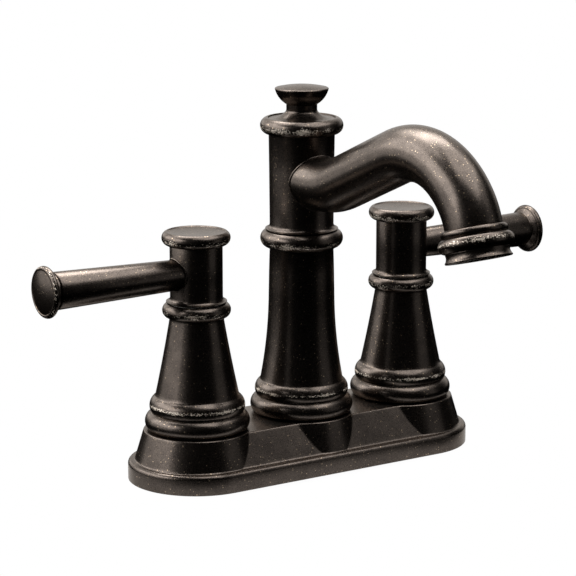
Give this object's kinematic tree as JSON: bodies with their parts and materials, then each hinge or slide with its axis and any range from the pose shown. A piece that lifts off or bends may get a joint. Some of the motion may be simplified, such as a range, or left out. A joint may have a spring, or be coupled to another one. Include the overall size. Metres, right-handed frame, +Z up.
{
  "type": "centerset bathroom faucet",
  "caption": "Two-handle centerset basin faucet in dark bronze: long deck plate, flared columns with beads, side levers, arched spout and a lift-rod knob.",
  "frame": {"origin": "where the lift rod's axis meets the top of the basin deck, on the underside of the deck plate", "axes": "+Z up, -Y towards the user and the spout's outlet, +X to the cold handle on the user's right"},
  "size_m": [0.2424, 0.1584, 0.2168],
  "materials": {
    "bronze_finish": "satin oil-rubbed dark bronze, worn to copper on the beads",
    "raw_brass": "machined",
    "copper": "drawn copper tube",
    "stainless": "plain",
    "ceramic": "lapped ceramic",
    "white_plastic": "moulded",
    "black_rubber": "moulded"
  },
  "bodies": {
    "base": {"deck_plate": "bronze_finish", "deck_gasket": "black_rubber", "centre_body": "raw_brass", "tower_base": "bronze_finish", "tower_body": "bronze_finish", "tower_roof": "bronze_finish", "rod_bush": "white_plastic", "spout": "bronze_finish", "supply_tube": "white_plastic", "outlet_plug": "white_plastic", "aerator_gasket": "black_rubber", "aerator_shell": "bronze_finish", "aerator_insert": "white_plastic", "aerator_screen": "stainless", "mounting_washers": "stainless", "mounting_nuts": "raw_brass", "left_valve_body": "raw_brass", "left_cross_tube": "copper", "left_handle_pillar": "bronze_finish", "left_glide_ring": "white_plastic", "left_cartridge_housing": "raw_brass", "left_seat_seal": "black_rubber", "left_fixed_disc": "ceramic", "left_bonnet_nut": "raw_brass", "right_valve_body": "raw_brass", "right_cross_tube": "copper", "right_handle_pillar": "bronze_finish", "right_glide_ring": "white_plastic", "right_cartridge_housing": "raw_brass", "right_seat_seal": "black_rubber", "right_fixed_disc": "ceramic", "right_bonnet_nut": "raw_brass"},
    "left_handle": {"left_moving_disc": "ceramic", "left_stem": "raw_brass", "left_stem_adapter": "raw_brass", "left_handle_hub": "bronze_finish", "left_handle_screw": "stainless", "left_handle_cap": "bronze_finish", "left_lever": "bronze_finish"},
    "right_handle": {"right_moving_disc": "ceramic", "right_stem": "raw_brass", "right_stem_adapter": "raw_brass", "right_handle_hub": "bronze_finish", "right_handle_screw": "stainless", "right_handle_cap": "bronze_finish", "right_lever": "bronze_finish"},
    "lift": {"lift_rod": "bronze_finish", "lift_knob": "bronze_finish"}
  },
  "joints": [
    {"name": "hot_handle_turn", "type": "hinge", "parent": "base", "child": "left_handle", "pos_m": [-0.0508, 0, 0.0849], "axis": [0, 0, 1], "range_deg": [0, 90]},
    {"name": "cold_handle_turn", "type": "hinge", "parent": "base", "child": "right_handle", "pos_m": [0.0508, 0, 0.0849], "axis": [0, 0, 1], "range_deg": [-90, 0]},
    {"name": "lift_knob_pull", "type": "slide", "parent": "base", "child": "lift", "axis": [0, 0, 1], "range_m": [0, 0.025]}
  ]
}
